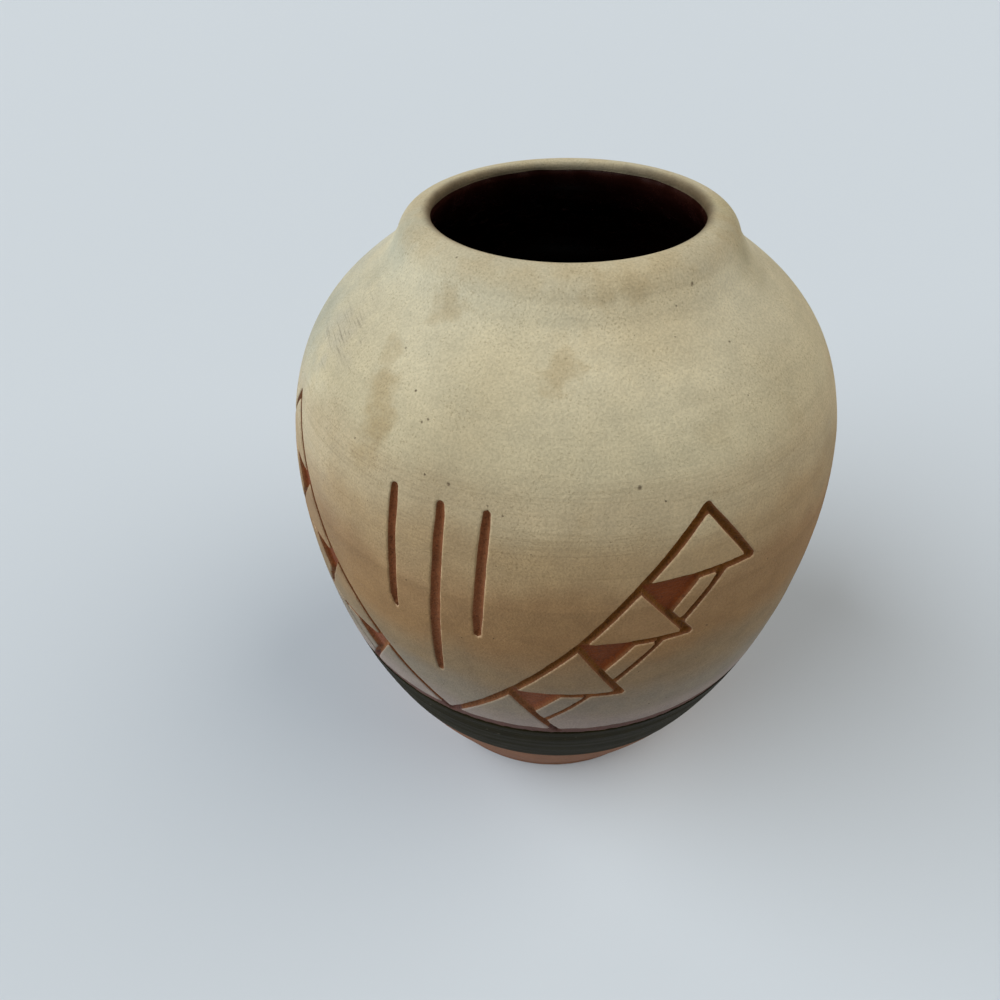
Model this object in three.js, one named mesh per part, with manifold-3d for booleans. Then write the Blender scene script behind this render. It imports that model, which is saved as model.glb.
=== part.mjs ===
// A wheel-thrown vase of red earthenware: a round body on a turned foot, with a short collar and a
// rolled lip. A black slip band and a dip of cream slip coat the outside, a dark glaze lines the
// inside, and two broad Vs of stepped triangles are carved through the cream slip into the clay.
// Millimetres and degrees, +Z up. The foot stands on Z = 0, the axis is X = Y = 0, and the middle of
// one V faces -Y.

import * as THREE from "three";
import { mergeVertices } from "three/addons/utils/BufferGeometryUtils.js";
import Module from "manifold-3d";

const wasm = await Module();
wasm.setup();

// The outline of the finished pot. A pull is how far a curve keeps to its end's direction.
const footRadius = 45;
const footEdge = 1.2;
const footSteepness = 78;
const footPull = 6;
const bellyRadius = 65.2;
const bellyHeight = 86.6;
const bellyPullDown = 48;
const bellyPullUp = 47.4;
const neckRadius = 35.3;
const neckHeight = 146;
const shoulderSlope = 45.5;
const shoulderPull = 12.4;
const collarLean = 13;
const rimRadius = 28.6;
const rimHeight = 152.2;
const mouthRadius = 27.4;

// The wall, and the layers that lie on it
const wallThickness = 4.8;
const floorThickness = 8;
const floorCorner = 9;
const floorBend = 3;
const floorBendWidth = 13.5;
const slipThickness = 0.6;
const glazeThickness = 0.6;
const bondGap = 0.2;

// Heights of the coats' edges, and the line of bare clay between them
const bandBottom = 31;
const bandTop = 55.3;
const bareLine = 2.9;
const glazeSetback = 0.4;

// The carving tool's grooves, and how many Vs go round the pot
const carvingDepth = 1.5;
const grooveWidth = 1.8;
const levelGrooveWidth = 1.4;
const fineGrooveWidth = 1.2;
const toolReach = 8;
const vCount = 2;

// Each arm of a V climbs by four triangles, from one at the middle of the V. A reach is measured
// round the belly from there, and a rise from the middle of the bare line.
const firstBase = 26.4;
const secondReach = 15.5;
const secondRise = 18.9;
const secondBase = 23.5;
const thirdReach = 29;
const thirdRise = 36.5;
const thirdBase = 22;
const fourthReach = 39.8;
const fourthRise = 51;
const fourthBase = 23.6;
const tipReach = 52.9;
const tipRise = 64.6;

// Below each upper triangle a gouged patch and a kept bar lean on the triangle under it. A reach is
// that of the bar's groove from the lower triangle's peak, and a lean is how far down that triangle's
// side the groove ends.
const lowBarReach = 17.1;
const lowBarWidth = 5.1;
const lowBarLean = 0.67;
const middleBarReach = 16.7;
const middleBarWidth = 4.6;
const middleBarLean = 0.74;
const highBarReach = 17.8;
const highBarWidth = 4.1;
const highBarLean = 0.75;

// Three upright strokes stand in each V, the middle one longer
const strokeSpacing = 9.3;
const strokeTop = 64.3;
const strokeLength = 26;
const middleStrokeLength = 43.2;

// How finely the round forms and the outline's stretches are divided, and how near corners merge
const mergeDistance = 0.001;
const roundSegments = 40;
const toolEndSegments = 3;
const footEdgeRows = 2;
const footRows = 3;
const bandRows = 2;
const bodyRows = 9;
const collarRows = 3;
const lipRows = 2;
const insideRows = 6;
const floorCornerRows = 2;

const slipDepth = slipThickness + bondGap;
const glazeDepth = glazeThickness + bondGap;
const creamBottom = bandTop + bareLine;
const carvingBase = bandTop + bareLine / 2;
const armTriangles = [
  { reach: 0, rise: 0, base: firstBase },
  { reach: secondReach, rise: secondRise, base: secondBase },
  { reach: thirdReach, rise: thirdRise, base: thirdBase },
  { reach: fourthReach, rise: fourthRise, base: fourthBase },
];
const armTip = { reach: tipReach, rise: tipRise };
const armBars = [
  { reach: lowBarReach, width: lowBarWidth, lean: lowBarLean },
  { reach: middleBarReach, width: middleBarWidth, lean: middleBarLean },
  { reach: highBarReach, width: highBarWidth, lean: highBarLean },
];

// A place at a distance from another, in a direction above the horizontal
function alongSlope(radius, height, distance, degrees) {
  const angle = THREE.MathUtils.degToRad(degrees);
  return [radius + distance * Math.cos(angle), height + distance * Math.sin(angle)];
}

// The outline as one path of radius and height, from the foot up over the lip to the mouth's edge
const outline = new THREE.Path();
outline.moveTo(footRadius - footEdge, 0);
outline.quadraticCurveTo(footRadius, 0, footRadius, footEdge);
outline.bezierCurveTo(
  ...alongSlope(footRadius, footEdge, footPull, footSteepness),
  bellyRadius,
  bellyHeight - bellyPullDown,
  bellyRadius,
  bellyHeight,
);
outline.bezierCurveTo(
  bellyRadius,
  bellyHeight + bellyPullUp,
  ...alongSlope(neckRadius, neckHeight, shoulderPull, -shoulderSlope),
  neckRadius,
  neckHeight,
);
const collarRun = (rimHeight - neckHeight) * Math.tan(THREE.MathUtils.degToRad(collarLean));
outline.quadraticCurveTo(neckRadius - collarRun, rimHeight, rimRadius, rimHeight);
const mouthHeight = rimHeight - (rimRadius - mouthRadius);
outline.quadraticCurveTo(mouthRadius, rimHeight, mouthRadius, mouthHeight);

// A share is a part of the outline's whole length, here up to the end of one of its curves
function shareAtCurveEnd(index) {
  const lengths = outline.getCurveLengths();
  return lengths[index] / lengths[lengths.length - 1];
}
const footEdgeShare = shareAtCurveEnd(0);
const neckShare = shareAtCurveEnd(2);
const rimShare = shareAtCurveEnd(3);
const mouthShare = 1;

// The share at which the outline, which climbs all the way to the rim, passes a height
function shareAtHeight(height) {
  let below = 0;
  let above = rimShare;
  for (let halving = 0; halving < 40; halving += 1) {
    const middle = (below + above) / 2;
    if (outline.getPointAt(middle).y < height) below = middle;
    else above = middle;
  }
  return below;
}

// Evenly spaced values that pass through each of the stops, with a count of steps after each stop
function passThrough(stops, counts) {
  const values = [stops[0]];
  counts.forEach((count, index) => {
    for (let step = 1; step <= count; step += 1) {
      values.push(THREE.MathUtils.lerp(stops[index], stops[index + 1], step / count));
    }
  });
  return values;
}

// Points of the outline at some shares, moved into the wall by a depth
function outlinePoints(shares, depth) {
  return shares.map((share) => {
    const tangent = outline.getTangentAt(share);
    const inward = new THREE.Vector2(-tangent.y, tangent.x);
    return outline.getPointAt(share).addScaledVector(inward, depth);
  });
}

const bandBottomShare = shareAtHeight(bandBottom);
const bandTopShare = shareAtHeight(bandTop);
const creamBottomShare = shareAtHeight(creamBottom);
const footShares = passThrough([0, footEdgeShare, bandBottomShare], [footEdgeRows, footRows]);
const bandShares = passThrough([bandBottomShare, bandTopShare], [bandRows]);
const bodyShares = passThrough([creamBottomShare, neckShare], [bodyRows]);
const lipShares = passThrough([neckShare, rimShare, mouthShare], [collarRows, lipRows]);
const creamShares = [...bodyShares, ...lipShares.slice(1)];

// The inside of the pot from the mouth's edge to the middle of the floor, moved into the wall by a
// depth. The inside follows the outline at the wall's thickness, and turns to the floor in a curve.
function insidePoints(depth) {
  const floorHeight = floorThickness - depth;
  const wallFootShare = shareAtHeight(floorThickness + floorCorner);
  const wallShares = passThrough([neckShare, wallFootShare], [insideRows]);
  const wall = outlinePoints(wallShares, wallThickness - depth);
  const wallFoot = wall[wall.length - 1];
  const corner = new THREE.QuadraticBezierCurve(
    wallFoot,
    new THREE.Vector2(wallFoot.x - floorBend, floorHeight),
    new THREE.Vector2(wallFoot.x - floorBendWidth, floorHeight),
  );
  return [
    new THREE.Vector2(mouthRadius + depth, mouthHeight - glazeSetback),
    ...wall,
    ...corner.getPoints(floorCornerRows).slice(1),
    new THREE.Vector2(0, floorHeight),
  ];
}

// A closed triangle mesh as a solid, with its shared corners merged and its empty triangles left out
function toSolid(geometry) {
  geometry.deleteAttribute("normal");
  geometry.deleteAttribute("uv");
  const merged = mergeVertices(geometry, mergeDistance);
  const corners = merged.index.array;
  const triangles = [];
  for (let first = 0; first < corners.length; first += 3) {
    const [a, b, c] = corners.subarray(first, first + 3);
    if (a !== b && b !== c && c !== a) triangles.push(a, b, c);
  }
  const mesh = new wasm.Mesh({
    numProp: 3,
    vertProperties: new Float32Array(merged.attributes.position.array),
    triVerts: new Uint32Array(triangles),
  });
  return new wasm.Manifold(mesh);
}

// A solid of revolution from its section, whose points run anticlockwise with the radius to the right
function turned(section) {
  const geometry = new THREE.LatheGeometry(section, roundSegments);
  geometry.rotateX(Math.PI / 2);
  return toSolid(geometry);
}

// A layer on the outside between two shares of the outline, as a closed ring
function outsideLayer(shares, thickness) {
  const front = outlinePoints(shares, 0);
  const back = outlinePoints(shares, thickness).reverse();
  return turned([...front, ...back, front[0]]);
}

// The place on the wall at a reach and a rise, turned round the pot by an angle
function wallPlace(reach, rise, turn) {
  const height = carvingBase + rise;
  const radius = outline.getPointAt(shareAtHeight(height)).x;
  const angle = reach / bellyRadius + turn;
  return new THREE.Vector3(radius * Math.sin(angle), -radius * Math.cos(angle), height);
}

// The direction straight out of the wall there
function wallNormal(reach, rise, turn) {
  const tangent = outline.getTangentAt(shareAtHeight(carvingBase + rise));
  const angle = reach / bellyRadius + turn;
  return new THREE.Vector3(tangent.y * Math.sin(angle), -tangent.y * Math.cos(angle), -tangent.x);
}

// A straight-sided punch through the wall's surface, whose corners on the wall are reaches and rises
function punch(corners, turn) {
  const middle = new THREE.Vector2();
  corners.forEach((corner) => middle.addScaledVector(corner, 1 / corners.length));
  const outward = wallNormal(middle.x, middle.y, turn);
  const shape = new THREE.Shape(corners);
  const geometry = new THREE.ExtrudeGeometry(shape, { depth: 1, bevelEnabled: false });
  const position = geometry.attributes.position;
  for (let index = 0; index < position.count; index += 1) {
    const travel = position.getZ(index) > 0 ? toolReach : -toolReach;
    const place = wallPlace(position.getX(index), position.getY(index), turn);
    place.addScaledVector(outward, travel);
    position.setXYZ(index, place.x, place.y, place.z);
  }
  return toSolid(geometry);
}

// A round-ended groove between two places on the wall, as a punch
function groove(from, to, width, turn) {
  const heading = new THREE.Vector2().subVectors(to, from).angle();
  const corners = [];
  const ends = [
    { centre: to, start: heading - Math.PI / 2 },
    { centre: from, start: heading + Math.PI / 2 },
  ];
  for (const { centre, start } of ends) {
    for (let step = 0; step <= toolEndSegments; step += 1) {
      const angle = start + (Math.PI * step) / toolEndSegments;
      const edge = new THREE.Vector2(Math.cos(angle), Math.sin(angle)).multiplyScalar(width / 2);
      corners.push(edge.add(centre));
    }
  }
  return punch(corners, turn);
}

// The middle lines of one arm's grooves. Side is 1 for the arm that leans right, -1 for the left one.
function armTriangle(index, side) {
  const { reach, rise, base } = armTriangles[index];
  const next = armTriangles[index + 1] ?? armTip;
  return {
    start: new THREE.Vector2(side * reach, rise),
    end: new THREE.Vector2(side * (reach + base), rise),
    peak: new THREE.Vector2(side * next.reach, next.rise),
  };
}

// The gouged patch and the bar below a triangle, on the sloping side of the triangle under it
function armPatch(index, side) {
  const below = armTriangle(index - 1, side);
  const peak = below.peak;
  const { reach, width, lean } = armBars[index - 1];
  const barTop = new THREE.Vector2(peak.x + side * reach, peak.y);
  const barEnd = new THREE.Vector2().lerpVectors(peak, below.end, lean);
  const barInset = new THREE.Vector2(side * (width + fineGrooveWidth / 2), 0);
  const gougeTop = barTop.clone().sub(barInset);
  const barSlope = new THREE.Vector2().subVectors(barTop, barEnd);
  const sideSlope = new THREE.Vector2().subVectors(below.end, peak);
  const gougeShare = barSlope.cross(gougeTop.clone().sub(peak)) / barSlope.cross(sideSlope);
  const gougeEnd = new THREE.Vector2().lerpVectors(peak, below.end, gougeShare);
  return { peak, barTop, barEnd, gougeTop, gougeEnd };
}

// Everything that the tool takes out for one arm
function armCuts(side, turn) {
  const cuts = [];
  armTriangles.forEach((_, index) => {
    const { start, end, peak } = armTriangle(index, side);
    cuts.push(groove(start, peak, grooveWidth, turn), groove(peak, end, grooveWidth, turn));
    if (index === 0) return;
    const { barTop, barEnd, gougeTop, gougeEnd } = armPatch(index, side);
    cuts.push(groove(start, end, levelGrooveWidth, turn));
    cuts.push(groove(barEnd, barTop, fineGrooveWidth, turn));
    cuts.push(punch([start, gougeTop, gougeEnd], turn));
  });
  return cuts;
}

// The three strokes in one V
function strokeCuts(turn) {
  return [-1, 0, 1].map((place) => {
    const length = place === 0 ? middleStrokeLength : strokeLength;
    const top = new THREE.Vector2(place * strokeSpacing, strokeTop);
    const foot = new THREE.Vector2(place * strokeSpacing, strokeTop - length);
    return groove(foot, top, grooveWidth, turn);
  });
}

const sides = { left: -1, right: 1 };
const turns = Array.from({ length: vCount }, (_, index) => (2 * Math.PI * index) / vCount);
const carving = wasm.Manifold.union(
  turns.flatMap((turn) => [
    ...armCuts(sides.left, turn),
    ...armCuts(sides.right, turn),
    ...strokeCuts(turn),
  ]),
);

// The clay that the carving leaves whole, below the bottom of every groove
const belowCarving = turned([
  new THREE.Vector2(0, bandBottom),
  ...outlinePoints([...bandShares, ...bodyShares], carvingDepth),
  new THREE.Vector2(0, neckHeight),
]);

const clayBody = turned([
  new THREE.Vector2(0, 0),
  ...outlinePoints(footShares, 0),
  ...outlinePoints(bandShares, slipDepth),
  ...outlinePoints(creamShares, slipDepth),
  ...insidePoints(glazeDepth),
]).subtract(carving.subtract(belowCarving));

const blackBand = outsideLayer(
  passThrough([shareAtHeight(bandBottom + bondGap), bandTopShare], [bandRows]),
  slipThickness,
);

const glazeLining = turned([...insidePoints(glazeThickness).reverse(), ...insidePoints(0)]);

const wholeDip = outsideLayer(creamShares, slipThickness);
const carvedDip = wholeDip.subtract(carving);

// What the carving leaves of the dip inside each arm: its triangles and its bars
const islands = [];
turns.forEach((turn, vIndex) => {
  for (const [sideName, side] of Object.entries(sides)) {
    armTriangles.forEach((_, index) => {
      const { start, end, peak } = armTriangle(index, side);
      const arm = `v${vIndex + 1}_${sideName}`;
      islands.push({ name: `${arm}_triangle_${index + 1}`, area: punch([start, end, peak], turn) });
      if (index === 0) return;
      const patch = armPatch(index, side);
      const area = punch([patch.peak, patch.barTop, patch.barEnd], turn);
      islands.push({ name: `${arm}_bar_${index}`, area });
    });
  }
});
const armAreas = wasm.Manifold.union(islands.map((island) => island.area));
const creamDip = carvedDip.subtract(armAreas);

const redClay = { color: 0x8c5a42, roughness: 0.9, metalness: 0 };
const creamSlip = { color: 0xc2b592, roughness: 0.85, metalness: 0 };
const blackSlip = { color: 0x2b2a24, roughness: 0.5, metalness: 0 };
const darkGlaze = { color: 0x210b08, roughness: 0.15, metalness: 0 };

const vase = new THREE.Group();

// One named piece of the vase, from its solid and its finish
function addPiece(name, solid, finish) {
  const { vertProperties, triVerts } = solid.getMesh();
  const geometry = new THREE.BufferGeometry();
  geometry.setAttribute("position", new THREE.BufferAttribute(vertProperties, 3));
  geometry.setIndex(new THREE.BufferAttribute(triVerts, 1));
  geometry.computeVertexNormals();
  const piece = new THREE.Mesh(geometry, new THREE.MeshStandardMaterial(finish));
  piece.name = name;
  vase.add(piece);
}

addPiece("clay_body", clayBody, redClay);
addPiece("black_band", blackBand, blackSlip);
addPiece("cream_dip", creamDip, creamSlip);
addPiece("glaze_lining", glazeLining, darkGlaze);
for (const { name, area } of islands) {
  addPiece(name, carvedDip.intersect(area), creamSlip);
}

export default vase;
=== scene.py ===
"""A wheel-thrown vase in cream slip over red clay, with a black band and two Vs carved through the slip.

The section's sizes are in millimetres, as a potter measures them, and meshes are made in metres.
A place on the pot is an angle round it, 0 at the middle of the first V (-Y) and growing towards +X,
and a run, which is the way walked along the section: from the foot's edge up the outside, over the
lip, down the inside and across the floor to its middle.
"""

import itertools

import bpy
import numpy as np
from mathutils import Matrix, Vector


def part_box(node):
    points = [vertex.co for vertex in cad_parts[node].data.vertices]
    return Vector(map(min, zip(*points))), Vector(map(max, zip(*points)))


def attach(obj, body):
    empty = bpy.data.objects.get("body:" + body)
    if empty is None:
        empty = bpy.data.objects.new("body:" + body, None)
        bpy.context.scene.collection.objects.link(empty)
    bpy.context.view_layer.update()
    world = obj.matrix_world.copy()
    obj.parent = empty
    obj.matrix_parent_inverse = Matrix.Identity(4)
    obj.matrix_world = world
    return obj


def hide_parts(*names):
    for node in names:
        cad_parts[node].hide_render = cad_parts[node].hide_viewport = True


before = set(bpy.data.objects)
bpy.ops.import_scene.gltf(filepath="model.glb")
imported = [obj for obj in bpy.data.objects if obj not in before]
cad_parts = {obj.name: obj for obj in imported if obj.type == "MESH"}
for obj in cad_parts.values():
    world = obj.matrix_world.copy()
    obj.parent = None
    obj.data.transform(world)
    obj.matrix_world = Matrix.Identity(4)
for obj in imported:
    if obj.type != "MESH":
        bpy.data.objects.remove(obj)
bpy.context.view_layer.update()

MM = 0.001

# Sizes read from the frame
band_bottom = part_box("black_band")[0].z / MM
band_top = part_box("black_band")[1].z / MM
cream_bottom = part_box("cream_dip")[0].z / MM
belly_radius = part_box("cream_dip")[1].x / MM
rim_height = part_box("cream_dip")[1].z / MM

# The rest of the section
foot_radius = 45
foot_edge = 1.2
foot_steepness = 78
foot_pull = 6
belly_height = 86.6
belly_pull_down = 48
belly_pull_up = 47.4
neck_radius = 35.3
neck_height = 146
shoulder_slope = 45.5
shoulder_pull = 12.4
collar_lean = 13
rim_radius = 28.6
mouth_radius = 27.4
wall_thickness = 4.8
floor_thickness = 8
floor_corner = 9
floor_bend = 3
floor_bend_width = 13.5
throat_pull = 3.5
neck_ease = 3.6
outside_steps = 400
inside_steps = 60

# The carved pattern, measured from the middle of the V on the line of bare clay
carving_base = (band_top + cream_bottom) / 2
arm_steps = [(0, 0, 26.4), (15.5, 18.9, 23.5), (29.0, 36.5, 22.0), (39.8, 51.0, 23.6)]
arm_tip = (52.8, 64.3)
main_groove = 1.85
side_groove = 1.7
level_groove = 1.5

# Each bar, from the low one up: its groove's reach from the lower triangle's peak, how far down that
# triangle's side the groove ends, the bar's width, and the groove's width at its top and at its foot
arm_bars = [(17.1, 0.68, 5.1, 1.0, 1.35), (16.7, 0.75, 4.6, 1.25, 1.3), (17.2, 0.775, 4.1, 1.5, 1.4)]
v_turns = [0, np.pi]

# Each upright stroke: its bends as reach, rise and width, from its top to its pointed foot
left_stroke = [(-9.6, 64.6, 1.5), (-9.4, 62, 1.85), (-9.1, 50, 1.9), (-9.3, 39.5, 1.75), (-8.9, 37, 0.8)]
middle_stroke = [(1.1, 64.3, 1.6), (1.3, 62.5, 1.85), (1.2, 53, 2.0), (0.5, 39, 2.15), (0.1, 26, 1.9),
                 (0.1, 20.7, 1.4)]
right_stroke = [(10.6, 64.7, 1.4), (10.5, 62, 1.8), (10.1, 53, 1.95), (9.5, 42, 2.0), (9.4, 37.5, 1.5)]
strokes = [left_stroke, middle_stroke, right_stroke]

# The layers: how deep the slip's cut face, the grooves and each layer's back lie under the surface
slip_depth = 0.25
slip_back = 0.6
groove_depth = 1.3
clay_back = 2.2
band_back = 0.7
lining_back = 0.5

# The cuts' edges: the chipped face's mean width, the rounding's width and drop, and how far from its
# edge a groove's wall bends and ends
chip_width = 0.19
soft_edge = 0.2
soft_drop = 0.05
groove_bend = 0.35
groove_wall = 0.75

# The distance written down where nothing is carved
far_away = 50.0

# The pale lower wall: from the first height up to the second its greyer clay and dull cuts give way
pale_low, pale_high = 66, 86

# The noises in the shape: how far each moves it, or for the chips by what share of their width, how
# wide its features are, and its pattern's number. The band's is read on a circle with a radius of 1.
broad_rings = (0.034, 5.5, 1)
fine_rings = (0.014, 1.6, 2)
mouth_waver = (0.45, 7, 5)
broad_waver = (0.07, 3.1, 7)
fine_waver = (0.035, 0.9, 8)
broad_chips = (0.7, 1.3, 9)
fine_chips = (0.3, 0.6, 10)
broad_marks = (0.07, 1.1, 11)
fine_marks = (0.04, 0.5, 12)
band_waver = (0.35, 0.22, 21)

# The rings of throwing were smoothed away by the neck: the share, how far below it, and the reach
calm_share = 0.8
calm_below = 5
calm_reach = 10


def bezier(corners, steps):
    """A Bezier curve: neighbouring corners are blended by the share until one point is left."""
    share = np.linspace(0, 1, steps + 1)[:, None]
    layers = [np.array(corner, float) for corner in corners]
    while len(layers) > 1:
        layers = [a + (b - a) * share for a, b in zip(layers, layers[1:])]
    return layers[0]


def beside(radius, height, distance, degrees):
    """A place at a distance from another, in a direction above the horizontal."""
    angle = np.radians(degrees)
    return radius + distance * np.cos(angle), height + distance * np.sin(angle)


def run_along(points):
    """How far each point lies along a line of points: the running sum of its steps' lengths."""
    steps = np.hypot(*np.diff(points, axis=0).T)
    return np.concatenate([[0], np.cumsum(steps)])


def outward_of(points):
    """The ways out of a line of points, on its right: its unit tangent turned a quarter back."""
    tangent = np.gradient(points, axis=0)
    tangent /= np.hypot(*tangent.T)[:, None]
    return np.c_[tangent[:, 1], -tangent[:, 0]]


def make_section():
    """The whole section as radius and height, and the runs at which its stretches end."""
    belly = (belly_radius, belly_height)
    neck = (neck_radius, neck_height)
    collar_run = (rim_height - neck_height) * np.tan(np.radians(collar_lean))
    mouth_height = rim_height - (rim_radius - mouth_radius)
    outside = [
        [(foot_radius - foot_edge, 0), (foot_radius, 0), (foot_radius, foot_edge)],
        [(foot_radius, foot_edge), beside(foot_radius, foot_edge, foot_pull, foot_steepness),
         (belly_radius, belly_height - belly_pull_down), belly],
        [belly, (belly_radius, belly_height + belly_pull_up),
         beside(*neck, shoulder_pull, -shoulder_slope), neck],
        [neck, (neck_radius - collar_run, rim_height), (rim_radius, rim_height)],
        [(rim_radius, rim_height), (mouth_radius, rim_height), (mouth_radius, mouth_height)],
    ]
    curves = [bezier(corners, outside_steps) for corners in outside]
    shell = np.vstack(curves[1:3])
    inner = (shell - outward_of(shell) * wall_thickness)[::-1]
    inner = inner[inner[:, 1] > floor_thickness + floor_corner]
    first, last = inner[0], inner[-1]
    throat_corners = [(mouth_radius, mouth_height), (mouth_radius, mouth_height - throat_pull), first]
    bends = [(last[0] - bend, floor_thickness) for bend in (floor_bend, floor_bend_width)]
    floor_corners = [bends[1], (0, floor_thickness)]
    curves += [bezier(throat_corners, inside_steps), inner]
    curves += [bezier(corners, inside_steps) for corners in ([last, *bends], floor_corners)]
    points = curves[0]
    ends = []
    for curve in curves[1:]:
        ends.append(run_along(points)[-1])
        points = np.vstack([points, curve[1:]])
    return points, ends


def ease_corner(points, middle, reach):
    """A line of points with a corner eased: each point nearby becomes the mean of a stretch.

    Half the stretch is the reach at the corner, and shrinks smoothly to nothing at twice the reach away.
    """
    run = run_along(points)
    share = np.clip(1 - np.abs(run - middle) / (2 * reach), 0, 1)
    half = reach * share * share * (3 - 2 * share)
    spots = run[:, None] + half[:, None] * np.linspace(-1, 1, 21)
    return np.stack([np.interp(spots, run, points[:, axis]).mean(axis=1) for axis in (0, 1)], axis=-1)


section, section_ends = make_section()
section = ease_corner(section, section_ends[2], neck_ease)
section_run = run_along(section)
section_out = outward_of(section)
neck_run, rim_run, mouth_run = section_ends[2:5]
floor_run = section_run[-1]
climbing = section_run <= rim_run


def run_at(height):
    """The run at which the outside passes a height."""
    return np.interp(height, section[climbing, 1], section_run[climbing])


def at_run(values, run):
    """The section's radius and height, or its way out, at a run."""
    return [np.interp(run, section_run, values[:, axis]) for axis in (0, 1)]


def turned(angle, radius, height):
    """A radius and a height turned by an angle round the axis."""
    return np.stack([radius * np.sin(angle), -radius * np.cos(angle), height], axis=-1)


def place(angle, run, depth=0.0):
    """Points on the pot: the section at a run, sunk square to itself, and turned by an angle."""
    out_radius, out_height = at_run(section_out, run)
    size = np.hypot(out_radius, out_height)
    radius, height = at_run(section, run)
    return turned(angle, radius - depth * out_radius / size, height - depth * out_height / size)


def lattice_noise(points, size, seed):
    """Smooth noise from -1 to 1: a random value at each corner of a cube lattice, blended between.

    The value is the corner's whole numbers, scrambled by multiplying and shifting their bits.
    """
    scaled = np.asarray(points) / size + 31.7 * seed
    cell = np.floor(scaled).astype(np.int64)
    share = scaled - cell
    share = share * share * (3 - 2 * share)
    total = np.zeros(scaled.shape[:-1])
    for corner in itertools.product((0, 1), repeat=3):
        key = (cell + corner) @ np.array([73856093, 19349663, 83492791]) & 0xFFFFFFFF
        for shift, factor in ((13, 1274126177), (16, 668265263)):
            key = (key ^ (key >> shift)) * factor & 0xFFFFFFFF
        value = (key >> 8 & 0xFFFF) / 32767.5 - 1
        total += value * np.prod(np.where(corner, share, 1 - share), axis=-1)
    return total


def rough(points, *noises):
    """The sum of some noises, each with its height, width and pattern."""
    return sum(height * lattice_noise(points, width, seed) for height, width, seed in noises)


def throwing_rings(angle, run):
    """How far the potter's fingers left the wall sunk: broad rings and finer ones, calm by the neck.

    A point's run counts in full in their noise, and its way round the pot hardly at all.
    """
    calm = 1 - calm_share * np.exp(-(((run - neck_run + calm_below) / calm_reach) ** 2))
    total = 0
    for height, width, seed in (broad_rings, fine_rings):
        flat = np.stack([np.sin(angle) * 1.3, np.cos(angle) * 1.3, run / width], axis=-1)
        total += height * lattice_noise(flat, 1, seed)
    return calm * total


def unit(vector):
    """A vector at length one."""
    return vector / np.linalg.norm(vector)


def cross(a, b):
    """The cross product of two flat steps."""
    return a[0] * b[1] - a[1] * b[0]


class CutPlane:
    """The plane that a straight cut is drawn on: square to the wall at the middle of its corners."""

    def __init__(self, corners, turn):
        reach, rise = np.mean(corners, axis=0)
        self.turn = turn
        self.middle = self.on_wall(reach, rise)
        out = at_run(section_out, run_at(carving_base + rise))
        normal = turned(reach / belly_radius + turn, *out)
        self.right = unit(np.cross((0, 0, 1), normal))
        self.up = unit(np.cross(normal, self.right))
        self.corners = [self.flat(self.on_wall(*corner)) for corner in corners]

    def on_wall(self, reach, rise):
        """The wall's point at a reach round the belly and a rise from the carving's base."""
        return place(reach / belly_radius + self.turn, run_at(carving_base + rise))

    def flat(self, points):
        """Points seen square to the plane, as steps to its right and up."""
        away = points - self.middle
        return np.stack([away @ self.right, away @ self.up], axis=-1)


def groove_distance(points, corners, widths, turn):
    """Distance to a groove: to its nearest middle line, less half the width there."""
    nearest = np.full(len(points), np.inf)
    for start, end, wide, wider in zip(corners, corners[1:], widths, widths[1:]):
        plane = CutPlane([start, end], turn)
        a, b = plane.corners
        spots = plane.flat(points)
        share = np.clip((spots - a) @ (b - a) / ((b - a) @ (b - a)), 0, 1)
        away = np.hypot(*(spots - a - share[:, None] * (b - a)).T)
        nearest = np.minimum(nearest, away - (wide + (wider - wide) * share) / 2)
    return nearest


def patch_distance(points, corners, turn):
    """Distance to a flat-sided patch: the farthest of the ways out over its sides, below 0 inside."""
    plane = CutPlane(corners, turn)
    spots = plane.flat(points)
    middle = np.mean(plane.corners, axis=0)
    farthest = np.full(len(points), -np.inf)
    for a, b in zip(plane.corners, plane.corners[1:] + plane.corners[:1]):
        along = unit(b - a)
        out = np.array([along[1], -along[0]])
        if (middle - a) @ out > 0:
            out = -out
        farthest = np.maximum(farthest, (spots - a) @ out)
    return farthest


def arm_triangle(index, side):
    """The middle lines of an arm's triangle: its start on the main groove, its far end and its peak."""
    reach, rise, base = arm_steps[index]
    peak = arm_steps[index + 1][:2] if index + 1 < len(arm_steps) else arm_tip
    return (side * reach, rise), (side * (reach + base), rise), (side * peak[0], peak[1])


def arm_patch(index, side):
    """The gouged patch and the kept bar that lean on the triangle below: the corners of both."""
    _, below_end, peak = arm_triangle(index - 1, side)
    reach, lean, width, top_groove, _ = arm_bars[index - 1]
    bar_top = (peak[0] + side * reach, peak[1])
    bar_end = tuple(np.array(peak) + lean * (np.array(below_end) - peak))
    gouge_top = (bar_top[0] - side * (width + top_groove / 2), bar_top[1])
    slope = np.array(bar_top) - bar_end
    fall = np.array(below_end) - peak
    from_peak = np.array(gouge_top) - peak
    share = cross(slope, from_peak) / cross(slope, fall)
    gouge_end = tuple(np.array(peak) + share * fall)
    return peak, bar_top, bar_end, gouge_top, gouge_end


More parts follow.
